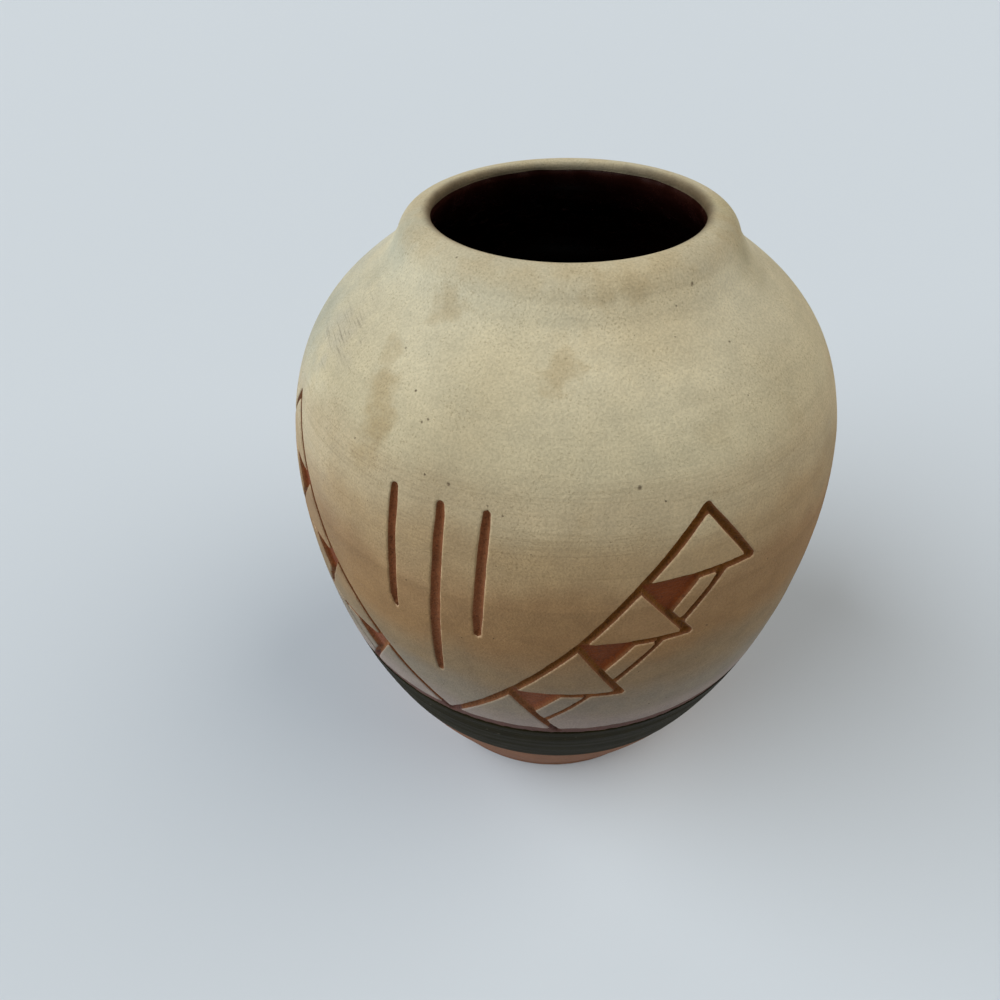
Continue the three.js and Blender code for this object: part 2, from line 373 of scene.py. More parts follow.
def carved_distance(points, turn):
    """Distances to everything cut in one V, to its gouged patches alone, and to its strokes alone."""
    stroke = np.full(len(points), np.inf)
    for line in strokes:
        away = groove_distance(points, [bend[:2] for bend in line], [bend[2] for bend in line], turn)
        stroke = np.minimum(stroke, away)
    cuts = [stroke]
    gouges = []
    for side in (-1, 1):
        for index in range(len(arm_steps)):
            start, end, peak = arm_triangle(index, side)
            cuts.append(groove_distance(points, [start, peak], [main_groove] * 2, turn))
            cuts.append(groove_distance(points, [peak, end], [side_groove] * 2, turn))
            if index == 0:
                continue
            _, bar_top, bar_end, gouge_top, gouge_end = arm_patch(index, side)
            *_, top_groove, foot_groove = arm_bars[index - 1]
            cuts.append(groove_distance(points, [start, end], [level_groove] * 2, turn))
            cuts.append(groove_distance(points, [bar_end, bar_top], [foot_groove, top_groove], turn))
            gouges.append(patch_distance(points, [start, gouge_top, gouge_end], turn))
    gouge = np.min(gouges, axis=0)
    return np.minimum(np.min(cuts, axis=0), gouge), gouge, stroke


def lit_side(distance, columns):
    """How squarely a place lies below and to the right of the cut nearest to it, from 0 to 1.

    The slope of the distance over the grid gives the way out of the cut. The side below and to the right
    is the side the light falls on, where the cut faces get a painted highlight.
    """
    rows = distance.reshape(-1, columns)
    up, right = np.gradient(rows)
    lean = (0.6 * right - 0.8 * up) / np.maximum(np.hypot(right, up), 1e-6)
    return np.clip(0.3 + 0.7 * lean, 0, 1).ravel()


def grid(angles, runs):
    """A grid of points over angles and runs, and its triangles, with diagonals both ways in turn."""
    angle, run = (values.ravel() for values in np.meshgrid(angles, runs))
    wide = len(angles)
    row, column = (v.ravel() for v in np.mgrid[0 : len(runs) - 1, 0 : wide - 1])
    a = row * wide + column
    b, c, d = a + 1, a + wide + 1, a + wide
    even = ((row + column) % 2 == 0)[:, None]
    first = np.where(even, np.c_[a, b, c], np.c_[a, b, d])
    second = np.where(even, np.c_[a, c, d], np.c_[b, c, d])
    return {"angle": angle, "run": run}, np.vstack([first, second])


def edge_line(points, triangles, name, level, near=0.02):
    """Puts an edge where a field passes a level: each triangle that it crosses is split along it.

    A corner nearer than the near limit counts as on the line, which leaves no slivers.
    """
    value = points[name] - level
    value[np.abs(value) < near] = 0
    points[name] = value + level
    sign = np.sign(value)[triangles]
    crossed = sign * np.roll(sign, -1, axis=1) < 0
    count = crossed.sum(axis=1)
    hit = np.flatnonzero(count)
    ends = np.stack([triangles, np.roll(triangles, -1, axis=1)], axis=-1)[hit][crossed[hit]]
    pairs, which = np.unique(np.sort(ends, axis=1), axis=0, return_inverse=True)
    a, b = pairs.T
    share = value[a] / (value[a] - value[b])
    added = {key: held[a] + (held[b] - held[a]) * share for key, held in points.items()}
    added[name] = np.full(len(a), float(level))
    new = np.full(triangles.shape, -1)
    rows, sides = np.nonzero(crossed)
    new[rows, sides] = len(value) + which.ravel()
    whole = triangles[count == 0]
    pieces = [whole]
    for crossings in (1, 2):
        chosen = np.flatnonzero(count == crossings)
        odd = np.argmax(crossed[chosen] == (crossings == 1), axis=1)
        b, c, a = (triangles[chosen, (odd + step) % 3] for step in range(3))
        if crossings == 1:
            m = new[chosen, odd]
            pieces += [np.c_[a, b, m], np.c_[a, m, c]]
        else:
            m, n = new[chosen, (odd + 2) % 3], new[chosen, (odd + 1) % 3]
            pieces += [np.c_[a, m, n], np.c_[m, b, c], np.c_[m, c, n]]
    points = {key: np.concatenate([held, added[key]]) for key, held in points.items()}
    return points, np.vstack(pieces)


def closed_layer(front, back, triangles):
    """A layer from its front and back points: both faces, and a wall along each open side."""
    used, triangles = np.unique(triangles, return_inverse=True)
    triangles = triangles.reshape(-1, 3)
    count = len(used)
    sides = np.vstack([triangles[:, (0, 1)], triangles[:, (1, 2)], triangles[:, (2, 0)]])
    key = np.sort(sides, axis=1) @ np.array([count, 1])
    _, first, uses = np.unique(key, return_index=True, return_counts=True)
    a, b = sides[first[uses == 1]].T
    walls = np.vstack([np.c_[a, a + count, b + count], np.c_[a, b + count, b]])
    faces = np.vstack([triangles, triangles[:, ::-1] + count, walls])
    return np.vstack([front[used], back[used]]), faces, used


def add_object(name, data):
    """An object with its data, put in the scene."""
    made = bpy.data.objects.new(name, data)
    bpy.context.scene.collection.objects.link(made)
    return made


def add_mesh(name, points, faces, finish, fields, nodes):
    """A smooth mesh piece from points in millimetres, with its fields kept as attributes."""
    mesh = bpy.data.meshes.new(name)
    mesh.vertices.add(len(points))
    mesh.vertices.foreach_set("co", (points * MM).astype(np.float32).ravel())
    mesh.loops.add(faces.size)
    mesh.loops.foreach_set("vertex_index", faces.astype(np.int32).ravel())
    mesh.polygons.add(len(faces))
    mesh.polygons.foreach_set("loop_start", np.arange(0, faces.size, 3, dtype=np.int32))
    mesh.update(calc_edges=True)
    mesh.validate()
    mesh.shade_smooth()
    mesh.set_sharp_from_angle(angle=np.radians(70))
    for key, held in fields.items():
        mesh.attributes.new(key, "FLOAT", "POINT").data.foreach_set("value", held.astype(np.float32))
    mesh.materials.append(finish)
    piece = add_object(name, mesh)
    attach(piece, "root")
    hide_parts(*nodes)


def cut_depth(points):
    """How deep the surface lies: level on the slip, down its cut face, then down the groove's wall.

    On the slip it rounds over by the soft edge. Across the cut face it falls evenly to the slip's
    depth, and in the clay it goes on down to the groove's depth by a smoothed share.
    """
    cut, brim, groove = points["cut"], points["brim"], points["groove"]
    rounding = soft_drop * np.clip(1 - brim / soft_edge, 0, 1) ** 2
    face = slip_depth - (slip_depth - soft_drop) * np.clip(cut / np.maximum(cut - brim, 0.02), 0, 1)
    share = np.clip(-groove / groove_wall, 0, 1)
    floor = slip_depth + (groove_depth - slip_depth) * np.sin(share * np.pi / 2)
    return np.where(brim >= 0, rounding, np.where(cut > 0, face, floor))


def colour(red, green, blue):
    """A paint colour given as it looks on a screen, from 0 to 255, as the shader's linear light."""
    value = np.array([red, green, blue]) / 255
    linear = np.where(value <= 0.04045, value / 12.92, ((value + 0.055) / 1.055) ** 2.4)
    return (*linear, 1.0)


def add(tree, kind, inputs=None, **settings):
    """A shader node of a kind with its settings, and its inputs either set or linked."""
    made = tree.nodes.new("ShaderNode" + kind)
    for key, value in settings.items():
        setattr(made, key, value)
    for key, value in (inputs or {}).items():
        if isinstance(value, bpy.types.NodeSocket):
            tree.links.new(value, made.inputs[key])
        else:
            made.inputs[key].default_value = value
    return made


def maths(tree, operation, *values):
    """The result of a sum on numbers or sockets."""
    return add(tree, "Math", dict(enumerate(values)), operation=operation).outputs[0]


def spread(tree, value, low, high, to_low=0.0, to_high=1.0):
    """A value carried smoothly from one range to another, and held at its ends."""
    inputs = {"Value": value, "From Min": low, "From Max": high, "To Min": to_low, "To Max": to_high}
    return add(tree, "MapRange", inputs, interpolation_type="SMOOTHSTEP").outputs["Result"]


def times(tree, *values):
    """The product of numbers or sockets, from the first to the last."""
    product = values[0]
    for value in values[1:]:
        product = maths(tree, "MULTIPLY", product, value)
    return product


def blend(tree, share, below, above, way="MIX"):
    """Two colours mixed by a share, or the second laid on the first in another way.

    Sockets 6, 7 and 2 are the Mix node's first and second colour and its mixed one.
    """
    inputs = {0: share, 6: below, 7: above}
    return add(tree, "Mix", inputs, data_type="RGBA", blend_type=way).outputs[2]


def tint(tree, base, paint, *shares):
    """A colour painted over by the product of some shares."""
    return blend(tree, times(tree, *shares), base, colour(*paint))


def attribute(tree, name):
    """A mesh attribute's value."""
    return add(tree, "Attribute", attribute_name=name).outputs["Fac"]


def new_group(name, inputs, outputs):
    """An empty node group with named number or place inputs, and the sockets at its two ends."""
    tree = bpy.data.node_groups.new(name, "ShaderNodeTree")
    for label, value in inputs.items():
        kind = "NodeSocketVector" if isinstance(value, tuple) else "NodeSocketFloat"
        tree.interface.new_socket(label, in_out="INPUT", socket_type=kind).default_value = value
    for label in outputs:
        tree.interface.new_socket(label, in_out="OUTPUT", socket_type="NodeSocketFloat")
    return tree, tree.nodes.new("NodeGroupInput").outputs, tree.nodes.new("NodeGroupOutput").inputs


def use_group(tree, group, **inputs):
    """A placed node group, with its own values."""
    return add(tree, "Group", inputs, node_tree=group).outputs


def object_place(tree, scale=(1, 1, 1)):
    """Object coordinates, stretched by a scale."""
    source = add(tree, "TexCoord").outputs["Object"]
    return add(tree, "Mapping", {"Vector": source, "Scale": scale}).outputs["Vector"]


def height_on(tree):
    """The height on the pot in millimetres."""
    return times(tree, add(tree, "SeparateXYZ", {"Vector": object_place(tree)}).outputs["Z"], 1 / MM)


def noise(tree, size, detail=3.0, vector=None):
    """Noise from 0 to 1 with features of a size in millimetres, on the object's place or another."""
    vector = vector or object_place(tree)
    fixed = isinstance(size, (int, float))
    scale = 1 / (size * MM) if fixed else maths(tree, "DIVIDE", 1 / MM, size)
    return add(tree, "TexNoise", {"Vector": vector, "Scale": scale, "Detail": detail}).outputs[0]


def make_flecks():
    """Irregular flecks: the peaks of a fine noise, closer together where a wide noise is high."""
    tree, given, result = new_group("Flecks", {"Size": 0.5, "Share": 0.0}, ["Mask"])
    wide = maths(tree, "MULTIPLY_ADD", noise(tree, 10), 0.3, given["Share"])
    peaks = maths(tree, "ADD", noise(tree, given["Size"], 1.0), wide)
    tree.links.new(spread(tree, peaks, 0.8, 0.87), result["Mask"])
    return tree


def make_pits():
    """Scattered pits: the near part of a share of a Voronoi pattern's cells, each bent out of round."""
    tree, given, result = new_group("Pits", {"Cell": 3.6, "Share": 0.3, "Size": 0.08}, ["Mask"])
    push = add(tree, "TexNoise", {"Vector": object_place(tree), "Scale": 1 / (0.7 * MM)})
    vectors = {0: push.outputs["Color"], 1: (0.5 * MM,) * 3, 2: object_place(tree)}
    bent = add(tree, "VectorMath", vectors, operation="MULTIPLY_ADD").outputs[0]
    scale = maths(tree, "DIVIDE", 1 / MM, given["Cell"])
    cells = add(tree, "TexVoronoi", {"Vector": bent, "Scale": scale})
    luck = add(tree, "SeparateColor", {"Color": cells.outputs["Color"]})
    held = maths(tree, "LESS_THAN", luck.outputs[0], given["Share"])
    size = times(tree, given["Size"], maths(tree, "ADD", luck.outputs[1], 0.4))
    near = maths(tree, "DIVIDE", cells.outputs["Distance"], size)
    tree.links.new(times(tree, held, spread(tree, near, 0.5, 1.1, 1, 0)), result["Mask"])
    return tree


def make_smudge():
    """One smudge: strongest at its middle, and fading out to its reach, ragged as its edge noise."""
    inputs = {"Middle": (0, 0, 0), "Reach": 5 * MM, "Edge": 0.5}
    tree, given, result = new_group("Smudge", inputs, ["Mask"])
    vectors = {0: object_place(tree), 1: given["Middle"]}
    away = add(tree, "VectorMath", vectors, operation="DISTANCE").outputs["Value"]
    share = maths(tree, "DIVIDE", away, given["Reach"])
    ragged = maths(tree, "MULTIPLY_ADD", given["Edge"], 1.3, share)
    tree.links.new(spread(tree, ragged, 0.7, 1.5, 1, 0), result["Mask"])
    return tree


def make_fired_surface():
    """The fired surface's noises: level streaks round the pot, fine tooth, and two sizes of patches.

    The streaks are squeezed along Z: soft ones, fine ones, and thin lines where the noise passes half.
    """
    labels = ["Streaks", "Fine", "Line", "Tooth", "Patch", "Cloud"]
    tree, given, result = new_group("Fired surface", {"Size": 1.5}, labels)
    scale = maths(tree, "DIVIDE", 1 / MM, given["Size"])
    for label, finer, around in (("Streaks", 1.0, 0.03), ("Fine", 3.1, 0.012), ("Line", 0.9, 0.02)):
        inputs = {"Vector": object_place(tree, (around, around, 1)), "Scale": times(tree, scale, finer)}
        streaks = add(tree, "TexNoise", {**inputs, "Detail": 3.0, "Roughness": 0.55}).outputs[0]
        if label == "Line":
            off = maths(tree, "ABSOLUTE", maths(tree, "SUBTRACT", streaks, 0.5))
            streaks = spread(tree, off, 0, 0.03, 1, 0)
        tree.links.new(streaks, result[label])
    for label, size, detail in (("Tooth", 0.45, 2.0), ("Patch", 5.0, 4.0), ("Cloud", 22.0, 3.0)):
        tree.links.new(noise(tree, size, detail), result[label])
    return tree


flecks = make_flecks()
pits = make_pits()
smudge = make_smudge()
fired_surface = make_fired_surface()


def new_finish(name, roughness, specular):
    """A material with one Principled shader, and its node tree."""
    finish = bpy.data.materials.new(name)
    finish.use_nodes = True
    tree = finish.node_tree
    shader = tree.nodes["Principled BSDF"]
    shader.inputs["Roughness"].default_value = roughness
    shader.inputs["Specular IOR Level"].default_value = specular
    return finish, tree, shader


def lay_on(tree, shader, base, height, distance):
    """Gives the shader its colour, and a bump of a height and a distance in millimetres."""
    tree.links.new(base, shader.inputs["Base Color"])
    bump = add(tree, "Bump", {"Height": height, "Distance": distance * MM, "Strength": 1.0})
    tree.links.new(bump.outputs["Normal"], shader.inputs["Normal"])


def shade(tree, base, *layers):
    """A colour darkened or lightened by noises, each of them between its two strengths."""
    for value, low, high in layers:
        strength = spread(tree, value, 0.3, 0.7, low, high)
        grey = add(tree, "CombineColor", dict.fromkeys(("Red", "Green", "Blue"), strength)).outputs[0]
        base = blend(tree, 1.0, base, grey, "MULTIPLY")
    return base


# The slip's colours by height: grey lavender above the band, a warm tan haze, then cream
slip_zones = [
    (58, (153, 139, 132)), (70, (136, 125, 110)), (82, (138, 116, 88)), (93, (146, 112, 75)),
    (102, (155, 121, 84)), (112, (174, 147, 110)), (121, (193, 173, 138)), (130, (204, 189, 154)),
    (150, (212, 201, 171)),
]

# Handling stains on the slip: the angle and height of each one's middle, and its reach and strength
stains = [
    (-16, 129.4, 7, 0.6), (-17, 124, 7, 0.4), (-18, 134, 7, 0.5), (-22, 138, 6, 0.35),
    (-14, 146, 8, 0.4), (30, 151, 8, 0.45), (40, 151, 8, 0.45), (85, 151, 6, 0.5),
    (70, 128, 9, 0.2), (-34, 123, 8, 0.2), (21, 140, 7, 0.45), (25, 121.5, 4, 0.25),
    (50, 131, 8, 0.2), (140, 138, 8, 0.3), (-120, 141, 9, 0.3), (178, 127, 9, 0.25),
]

# Kiln clouding and painted light: the angle and height of each one's middle, its reach, and how it shifts
# the colour. The bluish lighter ones on the left flank are a painted sheen from the window, and the darker
# ones on the right side and by the neck at the right are painted shade.
clouds_and_painted_light = [
    (26, 80, 48, (0.94, 0.89, 0.88)), (-52, 96, 56, (1.08, 1.18, 1.36)),
    (44, 130, 30, (1.06, 1.08, 1.1)), (-60, 131, 26, (0.8, 0.88, 1.0)),
    (-74, 95, 26, (1.06, 1.13, 1.3)), (-80, 114, 24, (1.04, 1.1, 1.2)),
    (-80, 139, 16, (0.92, 0.98, 1.1)), (-52, 149, 14, (0.82, 0.87, 0.92)),
    (-30, 100, 24, (0.98, 1.02, 1.12)), (2, 128, 18, (0.88, 0.86, 0.84)),
    (8, 142, 20, (1.0, 0.97, 0.92)), (42, 147, 24, (1.06, 1.0, 0.92)),
    (95, 148, 14, (0.7, 0.68, 0.62)), (112, 151, 12, (0.85, 0.86, 0.78)),
    (20, 106, 22, (1.07, 1.08, 1.06)), (84, 112, 20, (0.85, 0.88, 0.9)),
    (114, 118, 28, (0.88, 0.87, 0.84)),
]

# The rubbed patch on the shoulder: its middle's angle and height, and its reach
rubbed_patch = (-42, 135.5, 13)

# Dark specks in the slip: the angle and height of each, and its width
specks = [
    (2.1, 124.8, 0.9), (9.4, 122.8, 0.5), (12.1, 121.6, 0.5), (-5.9, 132.0, 0.6),
    (-4.9, 132.6, 0.7), (-17.9, 139.1, 0.6), (-11.1, 139.5, 0.4), (-9.8, 135.3, 0.5),
    (34.5, 126.1, 0.9), (52.6, 145.9, 0.6), (59.7, 148.1, 1.0), (62.9, 140.1, 0.6),
    (60.1, 134.0, 0.5), (48.4, 93.2, 0.7), (60.2, 104.1, 0.5), (-19.9, 125.3, 0.5),
    (-29.3, 120.8, 0.4), (-53.3, 118.8, 1.6), (128, 117, 0.8), (171, 131, 0.6), (-141, 124, 0.9),
    (-103, 112, 0.6),
]

# Where one pass of the slip ended, as a faint level edge
tide_height = 103.4


def spot_on_wall(degrees, height):
    """A place on the outside wall in metres, from its angle and height."""
    return place(np.radians(degrees), run_at(height)) * MM


def add_smudge(tree, degrees, height, reach, edge):
    """The mask of one smudge on the wall, from its angle and height out to a reach in millimetres."""
    middle = spot_on_wall(degrees, height)
    return use_group(tree, smudge, Middle=middle, Reach=reach * MM, Edge=edge)["Mask"]


def scratch_lines(tree, middle, along, across, bend):
    """Fine scratches about a middle: noise drawn out along a direction, and bent as it runs on."""
    source = add(tree, "TexCoord").outputs["Object"]
    away = add(tree, "VectorMath", {0: source, 1: tuple(middle)}, operation="SUBTRACT").outputs[0]
    steps = []
    for direction in (along, across):
        dot = add(tree, "VectorMath", {0: away, 1: tuple(direction)}, operation="DOT_PRODUCT")
        steps.append(dot.outputs["Value"])
    bowed = maths(tree, "MULTIPLY_ADD", times(tree, steps[0], steps[0]), bend, steps[1])
    lines = add(tree, "CombineXYZ", {"X": times(tree, steps[0], 0.045), "Y": bowed}).outputs[0]
    return noise(tree, 0.5, 2.0, lines)


def mouth_stain_and_shade(tree, patch):
    """The lip's inside darkened towards the glaze: a brown stain, with painted shade added at two opposite
    sides, where the light does not reach into the mouth.
    """
    level = object_place(tree, (1, 1, 0))
    radius = add(tree, "VectorMath", {0: level}, operation="LENGTH").outputs["Value"]
    side = add(tree, "VectorMath", {0: level, 1: (0.058, 0.029, 0)}, operation="DOT_PRODUCT")
    inner = maths(tree, "SUBTRACT", radius, maths(tree, "ABSOLUTE", side.outputs["Value"]))
    inner = maths(tree, "MULTIPLY_ADD", patch, 1.2 * MM, inner)
    return spread(tree, inner, 28.4 * MM, 26.1 * MM, 0, 0.9)


def slip_by_height(tree, at, cloud):
    """The slip's colour at a height, which a wide noise shifts up and down."""
    low, high = slip_zones[0][0], slip_zones[-1][0]
    drift = times(tree, maths(tree, "SUBTRACT", cloud, 0.5), 14)
    inputs = {"Value": maths(tree, "ADD", at, drift), "From Min": low, "From Max": high}
    ramp = add(tree, "ValToRGB", {"Fac": add(tree, "MapRange", inputs).outputs[0]})
    ramp.color_ramp.interpolation = "EASE"
    stops = ramp.color_ramp.elements
    while len(stops) < len(slip_zones):
        stops.new(0.5)
    for stop, (height, paint) in zip(stops, slip_zones):
        stop.position = (height - low) / (high - low)
        stop.color = colour(*paint)
    return ramp.outputs["Color"]


def stained(tree, at, fired, edge):
    """The mask of the slip's stains: the lip's, the worn upper wall's, and those from handling."""
    lip = spread(tree, at, 146, 151.5, 0.1, 0.45)
    lip = times(tree, lip, spread(tree, fired["Patch"], 0.35, 0.65, 0.5, 1.0))
    upper = spread(tree, at, 110, 135, 0, 0.2)
    mask = maths(tree, "MAXIMUM", lip, times(tree, spread(tree, fired["Cloud"], 0.5, 0.75), upper))
    for degrees, height, reach, strength in stains:
        spot = add_smudge(tree, degrees, height, reach, edge)
        mask = maths(tree, "MAXIMUM", mask, times(tree, spot, strength))
    return mask


def scored_patch(tree, edge):
    """The rubbed patch's mask, and the share of it that its scratches take."""
    middle = spot_on_wall(*rubbed_patch[:2])
    out = unit(middle * (1, 1, 0) + (0, 0, 0.02))
    level = unit(np.cross((0, 0, 1), out))
    steep = unit(np.cross(out, level))
    scratches = scratch_lines(tree, middle, unit(level - steep * 0.08), unit(steep + level * 0.08), 3.0)
    rubbed = add_smudge(tree, *rubbed_patch, edge)
    return rubbed, times(tree, rubbed, spread(tree, scratches, 0.53, 0.66, 0, 0.45))


def make_slip_finish():
    """Matte cream slip, coloured by height, with kiln clouding and patches of painted sheen and shade,
    stains, streaks, pits, and pale cut edges with a painted highlight on their lit side.
    """
    finish, tree, shader = new_finish("Cream slip", 0.82, 0.15)
    fired = use_group(tree, fired_surface, Size=1.7)
    at = height_on(tree)
    base = slip_by_height(tree, at, fired["Cloud"])
    base = shade(tree, base, (fired["Cloud"], 0.94, 1.04), (fired["Patch"], 0.93, 1.05),
                 (fired["Streaks"], 0.97, 1.02))
    edge = noise(tree, 3.5, 4.0)
    soft = maths(tree, "MULTIPLY_ADD", edge, 0.3, 0.35)
    # Each patch shifts the colour: kiln clouding, or a painted sheen or painted shade where light or shade
    # falls
    for degrees, height, reach, shift in clouds_and_painted_light:
        mask = add_smudge(tree, degrees, height, reach, soft)
        base = blend(tree, mask, base, blend(tree, 1.0, base, (*shift, 1.0), "MULTIPLY"))
    base = tint(tree, base, (162, 135, 90), stained(tree, at, fired, edge))
    # Brown stain and painted shade inside the lip
    base = tint(tree, base, (80, 60, 36), mouth_stain_and_shade(tree, fired["Patch"]))

    tide_line = spread(tree, at, tide_height + 0.3, tide_height - 0.5)
    tide_tail = spread(tree, at, tide_height - 9, tide_height)
    base = tint(tree, base, (110, 84, 54), tide_line, tide_tail, 0.2)
    zone = times(tree, spread(tree, at, 100, 112), spread(tree, at, 131, 124))
    base = tint(tree, base, (120, 98, 62), fired["Line"], zone, fired["Patch"], 0.28)
    rubbed, scored = scored_patch(tree, edge)
    base = tint(tree, base, (172, 160, 142), rubbed, 0.3)
    base = tint(tree, base, (112, 102, 84), scored)

    base = shade(tree, base, (fired["Tooth"], 0.9, 1.07))
    fine = use_group(tree, flecks, Size=0.38, Share=0.02)["Mask"]
    base = tint(tree, base, (112, 92, 56), fine, 0.28)
    sharp = use_group(tree, pits, Cell=3.0, Share=0.3, Size=0.055)["Mask"]
    ragged = noise(tree, 0.6, 2.0)
    for degrees, height, width in specks:
        sharp = maths(tree, "MAXIMUM", sharp, add_smudge(tree, degrees, height, width * 0.65, ragged))
    base = tint(tree, base, (72, 54, 34), sharp, 0.75)
    # The pale cut faces: partly the cut slip's paler colour, and partly a painted highlight on the side the
    # light falls on
    broken = spread(tree, fired["Tooth"], 0.35, 0.6, 0.35, 0.8)
    base = tint(tree, base, (224, 188, 148), attribute(tree, "pale_cut_and_highlight"), broken)
    height = maths(tree, "ADD", times(tree, fired["Fine"], 0.5), fired["Tooth"])
    height = maths(tree, "SUBTRACT", height, maths(tree, "ADD", sharp, scored))
    lay_on(tree, shader, base, height, 0.14)
    return finish


def make_clay_finish():
    """Bare fired red clay: mottled, with turning marks, browner where it is dug, lighter in the strokes as
    painted light, maroon in the ring.
    """
    finish, tree, shader = new_finish("Red clay", 0.75, 0.12)
    shader.inputs["Sheen Weight"].default_value = 0.04
    fired = use_group(tree, fired_surface, Size=1.2)
    at = height_on(tree)
    cut = blend(tree, attribute(tree, "gouged"), colour(115, 70, 20), colour(112, 54, 18))
    # The strokes are painted lighter, standing in for the light that falls on them
    cut = tint(tree, cut, (148, 93, 58), attribute(tree, "stroked_painted_light"))
    cut = tint(tree, cut, (140, 90, 66), spread(tree, at, pale_high, pale_low, 0, 0.4))
    base = blend(tree, attribute(tree, "dug"), colour(131, 84, 53), cut)
    top = cream_bottom
    above = spread(tree, at, top - 10, top - 8)
    below = spread(tree, at, top + 1.2, top + 0.2)
    base = tint(tree, base, (92, 60, 51), above, below)
    base = shade(tree, base, (fired["Patch"], 0.9, 1.07), (fired["Streaks"], 0.92, 1.05),
                 (fired["Tooth"], 0.88, 1.1))
    grit = use_group(tree, flecks, Size=0.7, Share=0.03)["Mask"]
    base = tint(tree, base, (72, 42, 28), grit, 0.4)
    height = maths(tree, "ADD", times(tree, fired["Fine"], 0.8), fired["Tooth"])
    lay_on(tree, shader, base, height, 0.2)
    return finish


def make_band_finish():
    """Black slip rubbed to a satin: faintly green, streaked round the pot, browner at its thin foot."""
    finish, tree, shader = new_finish("Black slip", 0.55, 0.02)
    fired = use_group(tree, fired_surface, Size=2.0)
    base = blend(tree, attribute(tree, "thin"), colour(31, 27, 11), colour(48, 34, 20))
    base = shade(tree, base, (fired["Patch"], 0.85, 1.15), (fired["Streaks"], 0.85, 1.15))
    dust = use_group(tree, pits, Cell=2.6, Share=0.3, Size=0.12)["Mask"]
    base = tint(tree, base, (120, 112, 98), dust, 0.4)
    tree.links.new(spread(tree, fired["Streaks"], 0.3, 0.7, 0.46, 0.62), shader.inputs["Roughness"])
    lay_on(tree, shader, base, maths(tree, "ADD", fired["Fine"], fired["Tooth"]), 0.1)
    return finish


def make_glaze_finish():
    """Dark glaze: near-black red-brown, glossy, a little browner where it thins at the mouth."""
    finish, tree, shader = new_finish("Dark glaze", 0.22, 0.5)
    fired = use_group(tree, fired_surface, Size=4.0)
    base = blend(tree, attribute(tree, "thin"), colour(30, 9, 6), colour(44, 19, 12))
    base = shade(tree, base, (fired["Patch"], 0.8, 1.2))
    tree.links.new(spread(tree, fired["Patch"], 0.3, 0.7, 0.16, 0.3), shader.inputs["Roughness"])
    lay_on(tree, shader, base, fired["Streaks"], 0.15)
    return finish


slip_finish = make_slip_finish()
clay_finish = make_clay_finish()
band_finish = make_band_finish()
glaze_finish = make_glaze_finish()

# What the tool left in the clay: each attribute, its cut's distance, and the width that it grows over.
# The strokes' attribute also carries painted light, as it makes them lighter.
tool_fields = [("dug", "groove", 0.3), ("gouged", "gouge", 0.15), ("stroked_painted_light", "stroke", 0.2)]

# How finely the walls are divided
carving_step = 0.65
plain_step = 1.1
sector_half = np.radians(58)
carving_top = 124.5
ring_angles = np.linspace(-np.pi, np.pi, 289)

dip_overlap = 0.8
dip_foot_run = run_at(band_top) - dip_overlap
carving_top_run = run_at(carving_top)
cream_run = run_at(cream_bottom)


def steps_between(low, high, step):
    """Even values from low to high, no farther apart than a step."""
    return np.linspace(low, high, int(np.ceil((high - low) / step)) + 1)


def steps_through(start, *stretches):
    """Values from a start through stretches, each given by its end and the step in it."""
    values = [np.array([start])]
    for end, step in stretches:
        values.append(steps_between(values[-1][-1], end, step)[1:])
    return np.concatenate(values)


dip_rows = steps_through(dip_foot_run, (carving_top_run, carving_step), (neck_run - 6, plain_step),
                         (mouth_run + 0.6, 0.55))


def dipped_wall(angles, turn):
    """One upright sector of the dipped wall as points and triangles, carved if it has a turn.

    Its fields are distances: cut to the clay's edge, above 0 on slip, brim to the top of the cut
    face, and groove, gouge and stroke to the tool's cuts.
    """
    points, triangles = grid(angles, dip_rows)
    angle, run = points["angle"], points["run"]
    past_rim = np.clip((run - rim_run) / (mouth_run - rim_run), 0, 1)
    run += past_rim * rough(place(angle, run * 0 + mouth_run), mouth_waver)
    at = place(angle, run)
    waver = rough(at, broad_waver, fine_waver)
    for name in ("groove", "gouge", "stroke"):
        points[name] = np.full(len(run), far_away)
    points["lit"] = np.zeros(len(run))
    if turn is not None:
        groove, points["gouge"], points["stroke"] = carved_distance(at, turn)
        points["groove"] = groove + waver
        points["lit"] = lit_side(groove, len(angles))
    ring = run - cream_run + 2 * waver
    points["cut"] = np.minimum(points["groove"], ring)
    points["brim"] = points["cut"] - chip_width * (1 + rough(at, broad_chips, fine_chips))
    lines = [("brim", soft_edge), ("brim", 0), ("cut", 0)]
    if turn is not None:
        lines += [("groove", -groove_bend), ("groove", -groove_wall)]
    for name, level in lines:
        points, triangles = edge_line(points, triangles, name, level)
    return points, triangles


def front_of(points):
    """The visible surface of a sector: its rings, its cuts, the tool's marks, and its end sunk a little."""
    angle, run = points["angle"], points["run"]
    tool_marks = np.where(points["cut"] < 0, rough(place(angle, run), broad_marks, fine_marks), 0)
    depth = cut_depth(points) + throwing_rings(angle, run) + tool_marks
    end = np.clip((run - mouth_run + 0.5) / 0.9, 0, 1)
    return place(angle, run, depth + 0.25 * end**2)


def add_layer(name, points, front, back_depth, triangles, finish, nodes, fields):
    """A closed layer piece from a sector's triangles, down to a back depth."""
    back = place(points["angle"], points["run"], back_depth)
    corners, faces, used = closed_layer(front, back, triangles)
    kept = {key: np.concatenate([held[used], held[used]]) for key, held in fields.items()}
    add_mesh(name, corners, faces, finish, kept, nodes)


def island_areas(v_index):
    """Each island of slip in a V's arms: its node's name and the corners of its area."""
    areas = []
    for side_name, side in (("left", -1), ("right", 1)):
        arm = f"v{v_index + 1}_{side_name}"
        for index in range(len(arm_steps)):
            areas.append((f"{arm}_triangle_{index + 1}", list(arm_triangle(index, side))))
            if index > 0:
                peak, bar_top, bar_end, _, _ = arm_patch(index, side)
                areas.append((f"{arm}_bar_{index}", [peak, bar_top, bar_end]))
    return areas


